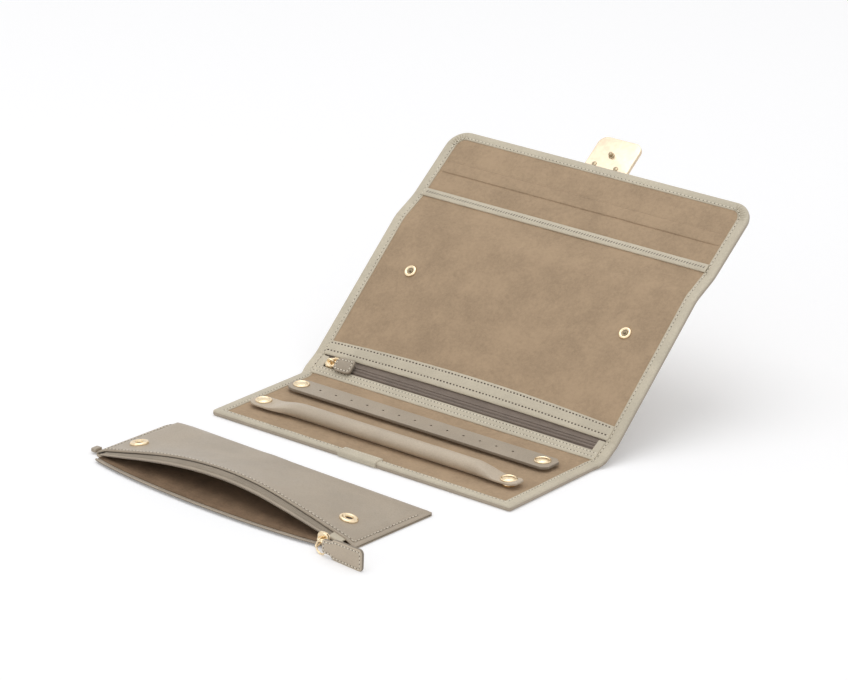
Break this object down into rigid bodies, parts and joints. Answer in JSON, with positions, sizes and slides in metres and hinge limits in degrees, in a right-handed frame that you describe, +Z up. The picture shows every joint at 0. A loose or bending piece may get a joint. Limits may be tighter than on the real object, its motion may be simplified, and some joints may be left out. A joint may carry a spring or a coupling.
{
  "type": "jewelry roll",
  "caption": "Long leather jewelry roll lying open, with a padded ring roll and a pierced earring strap that snap down, a zipped spine pocket, a flap with slip pockets and a metal clasp, and a loose zip pouch.",
  "frame": {"origin": "middle of the front panel's underside, on the table", "axes": "+X along the long edges to the right as seen from the front, +Y from the front edge towards the raised back panel, +Z up"},
  "size_m": [0.2515, 0.398, 0.1442],
  "materials": {
    "cover_leather": "fine grain leather, pale taupe",
    "strap_leather": "fine grain leather, pale taupe, stitched edges",
    "pouch_leather": "fine grain leather, pale taupe",
    "facing_leather": "smooth pale leather strips with perforated stitch rows",
    "suede": "brushed suede lining, tan",
    "pouch_suede": "brushed suede lining, dark",
    "board": "pressed fibre board",
    "padding": "felted padding",
    "zip_tape": "woven tape, taupe",
    "zip_coil": "nylon coil, taupe",
    "pale_gold": "polished pale gold plating",
    "clasp_metal": "polished pale gold plating over light alloy"
  },
  "bodies": {
    "front_panel": {"front_cover": "cover_leather", "front_board": "board", "front_lining": "suede", "lock_strip": "cover_leather", "lock_plate": "clasp_metal", "ring_roll_anchor": "strap_leather", "ring_roll_rivet": "pale_gold", "ring_roll_stud": "pale_gold", "strap_anchor": "strap_leather", "strap_rivet": "pale_gold", "strap_stud": "pale_gold"},
    "ring_roll": {"ring_roll_leather": "strap_leather", "ring_roll_core": "padding", "ring_roll_cap": "pale_gold"},
    "earring_strap": {"earring_strap": "strap_leather", "strap_cap": "pale_gold"},
    "bottom_spine": {"bottom_spine_cover": "cover_leather", "bottom_spine_lining": "suede", "zip_tape_lower": "zip_tape", "zip_tape_upper": "zip_tape", "zip_coil": "zip_coil", "zip_facing_lower": "facing_leather", "zip_end_left": "facing_leather", "zip_end_right": "facing_leather"},
    "zip_slider": {"zip_slider": "pale_gold"},
    "zip_pull": {"zip_pull_ring": "pale_gold", "zip_pull_tab": "strap_leather"},
    "back_panel": {"back_cover": "cover_leather", "back_board": "board", "zip_pocket_lining": "suede", "back_lining": "suede", "zip_facing_upper": "facing_leather", "pouch_stud_left": "pale_gold", "pouch_stud_right": "pale_gold"},
    "top_spine": {"top_spine_cover": "cover_leather", "top_spine_lining": "suede"},
    "flap": {"flap_cover": "cover_leather", "flap_board": "board", "flap_lining": "suede", "flap_pocket_lower": "suede", "flap_pocket_upper": "suede", "pocket_trim": "facing_leather", "clasp_plate": "clasp_metal", "clasp_stud": "pale_gold", "clasp_rivet_left": "pale_gold", "clasp_rivet_right": "pale_gold"},
    "pouch": {"pouch_top": "pouch_leather", "pouch_bottom": "pouch_leather", "pouch_lining_top": "pouch_suede", "pouch_lining_bottom": "pouch_suede", "pouch_tape_top": "zip_tape", "pouch_tape_bottom": "zip_tape", "pouch_tape_end": "zip_tape", "pouch_socket_left": "pale_gold", "pouch_socket_right": "pale_gold"},
    "pouch_slider": {"pouch_slider": "pale_gold"},
    "pouch_pull": {"pouch_pull_ring": "pale_gold", "pouch_pull_tab": "strap_leather"}
  },
  "joints": [
    {"name": "front_fold", "type": "hinge", "parent": "front_panel", "child": "bottom_spine", "pos_m": [0, 0.0461, 0.0034], "axis": [-1, 0, 0], "range_deg": [-58.7, 31.3]},
    {"name": "back_fold", "type": "hinge", "parent": "bottom_spine", "child": "back_panel", "pos_m": [0, 0.06063, 0.01223], "axis": [-1, 0, 0], "range_deg": [-78.5, 11.5]},
    {"name": "top_fold", "type": "hinge", "parent": "back_panel", "child": "top_spine", "pos_m": [0, 0.14134, 0.08697], "axis": [1, 0, 0], "range_deg": [0, 105.6]},
    {"name": "flap_fold", "type": "hinge", "parent": "top_spine", "child": "flap", "pos_m": [0, 0.16019, 0.09666], "axis": [1, 0, 0], "range_deg": [-10.8, 79.2]},
    {"name": "zip_slide", "type": "slide", "parent": "bottom_spine", "child": "zip_slider", "axis": [1, 0, 0], "range_m": [0, 0.2048]},
    {"name": "zip_pull_swing", "type": "hinge", "parent": "zip_slider", "child": "zip_pull", "pos_m": [-0.1024, 0.05485, 0.01211], "axis": [0, -0.8545, -0.5195], "range_deg": [0, 120]},
    {"name": "ring_roll_lift", "type": "hinge", "parent": "front_panel", "child": "ring_roll", "pos_m": [-0.0901, -0.0187, 0.0073], "axis": [0, -1, 0], "range_deg": [0, 70]},
    {"name": "strap_lift", "type": "hinge", "parent": "front_panel", "child": "earring_strap", "pos_m": [-0.09, 0.0191, 0.0073], "axis": [0, -1, 0], "range_deg": [0, 70]},
    {"name": "pouch_lift", "type": "slide", "parent": "front_panel", "child": "pouch", "axis": [0, 0, 1], "range_m": [0, 0.06]},
    {"name": "pouch_slide", "type": "slide", "parent": "pouch", "child": "pouch_slider", "axis": [-0.9991, 0.0419, 0], "range_m": [0, 0.172]},
    {"name": "pouch_pull_swing", "type": "hinge", "parent": "pouch_slider", "child": "pouch_pull", "pos_m": [0.06709, -0.16412, 0.0061], "axis": [0, 0, -1], "range_deg": [0, 110]}
  ]
}
